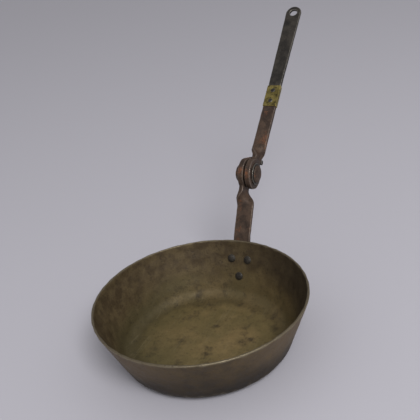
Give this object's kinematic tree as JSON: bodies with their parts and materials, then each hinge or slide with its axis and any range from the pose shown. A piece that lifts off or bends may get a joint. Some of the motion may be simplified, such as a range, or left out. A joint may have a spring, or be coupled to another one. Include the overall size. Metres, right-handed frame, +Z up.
{
  "type": "frying pan",
  "caption": "Deep wrought iron frying pan with a flat base, flaring wall and a long iron handle on a riveted strap, which folds over the bowl and has a brass collar.",
  "frame": {"origin": "centre of the flat base, on the surface that the pan stands on", "axes": "+Z up out of the bowl, +X from the bowl's centre towards the open handle, +Y to the left of someone who looks out from the bowl along the handle"},
  "size_m": [0.626, 0.2998, 0.3695],
  "materials": {
    "seasoned_iron": "hammered wrought iron, seasoned brown-olive inside and sooty outside",
    "rusty_iron": "forged wrought iron with a rust-brown skin",
    "dark_iron": "forged wrought iron, dark grey and worn at the edges",
    "aged_brass": "old brass, dull olive-yellow"
  },
  "bodies": {
    "pan": {"pan_bowl": "seasoned_iron", "handle_strap": "rusty_iron", "strap_rivet_1": "dark_iron", "strap_rivet_2": "dark_iron", "strap_rivet_3": "dark_iron", "stop_pin": "dark_iron", "pivot_pin": "rusty_iron", "pivot_washer_left": "dark_iron", "pivot_washer_middle": "dark_iron"},
    "handle": {"handle_lower_bar": "rusty_iron", "handle_upper_bar": "dark_iron", "splice_collar": "aged_brass", "splice_pin_1": "dark_iron", "splice_pin_2": "dark_iron", "pivot_washer_right": "dark_iron"}
  },
  "joints": [
    {"name": "handle_fold", "type": "hinge", "parent": "pan", "child": "handle", "pos_m": [0.211, 0, 0.169], "axis": [0, -1, 0], "range_deg": [0, 172.6]}
  ]
}
